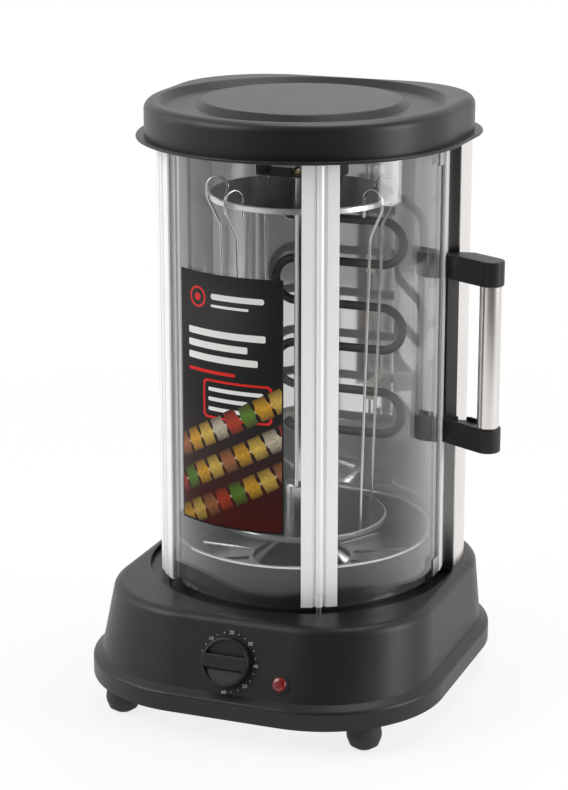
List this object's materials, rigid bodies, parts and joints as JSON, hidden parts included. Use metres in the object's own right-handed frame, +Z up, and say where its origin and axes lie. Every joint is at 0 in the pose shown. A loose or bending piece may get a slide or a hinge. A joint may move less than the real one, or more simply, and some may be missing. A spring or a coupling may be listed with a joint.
{
  "type": "electric skewer grill",
  "caption": "Vertical tabletop skewer grill: rounded base with timer dial and lamp, glass cylinder with a hinged door, heater, drip tray and a turning ring of skewers.",
  "frame": {"origin": "where the carousel's turning axis meets the standing plane", "axes": "+Z up along the turning axis, -Y towards the user and the control panel, +X to the user's right"},
  "size_m": [0.2994, 0.3023, 0.46],
  "materials": {
    "black_enamel": "satin",
    "black_plastic": "satin",
    "foot_rubber": "matte",
    "zinc_steel": "satin",
    "cover_steel": "brushed",
    "polished_sheet": "polished",
    "tray_aluminium": "polished",
    "profile_aluminium": "satin anodised",
    "pane_glass": "clear",
    "skewer_steel": "polished",
    "disc_steel": "satin",
    "bar_steel": "polished",
    "heater_sheath": "matte, heat darkened",
    "ceramic": "glazed",
    "white_plastic": "matte",
    "red_lens": "clear red",
    "motor_steel": "satin",
    "bearing_brass": "turned"
  },
  "bodies": {
    "frame": {"base_shell": "black_enamel", "bottom_plate": "zinc_steel", "foot_front_left": "foot_rubber", "foot_front_right": "foot_rubber", "foot_rear_left": "foot_rubber", "foot_rear_right": "foot_rubber", "machine_screws": "zinc_steel", "threaded_pillars": "zinc_steel", "cover_screws": "zinc_steel", "post_nuts": "zinc_steel", "timer_body": "white_plastic", "lamp_lens": "red_lens", "lamp_holder": "white_plastic", "gear_motor": "motor_steel", "cord_bush": "black_plastic", "terminal_block": "white_plastic", "spindle_bush": "bearing_brass", "drip_tray": "tray_aluminium", "front_profile_left": "profile_aluminium", "front_profile_right": "profile_aluminium", "left_profile_front": "profile_aluminium", "left_profile_rear": "profile_aluminium", "front_glass": "pane_glass", "left_glass": "pane_glass", "hinge_post_left": "zinc_steel", "hinge_post_right": "zinc_steel", "rear_cover": "cover_steel", "side_post_left": "black_enamel", "side_post_right": "black_enamel", "reflector": "polished_sheet", "heater": "heater_sheath", "heater_ceramics": "ceramic", "lid": "black_enamel", "top_plate": "zinc_steel", "bearing_bracket": "black_enamel", "upper_bush": "bearing_brass"},
    "door": {"door_glass": "pane_glass", "door_profile_front": "profile_aluminium", "door_profile_rear": "profile_aluminium", "door_corner_clips": "zinc_steel", "handle_arm_upper": "black_plastic", "handle_arm_lower": "black_plastic", "handle_back_plate": "black_plastic", "handle_bar": "bar_steel", "handle_screws": "zinc_steel"},
    "carousel": {"motor_shaft": "zinc_steel", "drive_tube": "disc_steel", "spindle": "disc_steel", "lower_disc": "disc_steel", "lower_collar": "disc_steel", "upper_disc": "disc_steel", "skewer_1": "skewer_steel", "skewer_2": "skewer_steel", "skewer_3": "skewer_steel", "skewer_4": "skewer_steel", "skewer_5": "skewer_steel", "skewer_6": "skewer_steel", "skewer_7": "skewer_steel"},
    "dial": {"timer_shaft": "zinc_steel", "timer_knob": "black_plastic"}
  },
  "joints": [
    {"name": "door_hinge", "type": "hinge", "parent": "frame", "child": "door", "pos_m": [0.05044, -0.09731, 0.262], "axis": [0, 0, -1], "range_deg": [0, 110]},
    {"name": "carousel_turn", "type": "hinge", "parent": "frame", "child": "carousel", "pos_m": [0, 0, 0.26], "axis": [0, 0, 1], "continuous": true},
    {"name": "timer_turn", "type": "hinge", "parent": "frame", "child": "dial", "pos_m": [-0.0018, -0.15036, 0.0614], "axis": [0, 0.9272, -0.3745], "range_deg": [0, 270]}
  ]
}
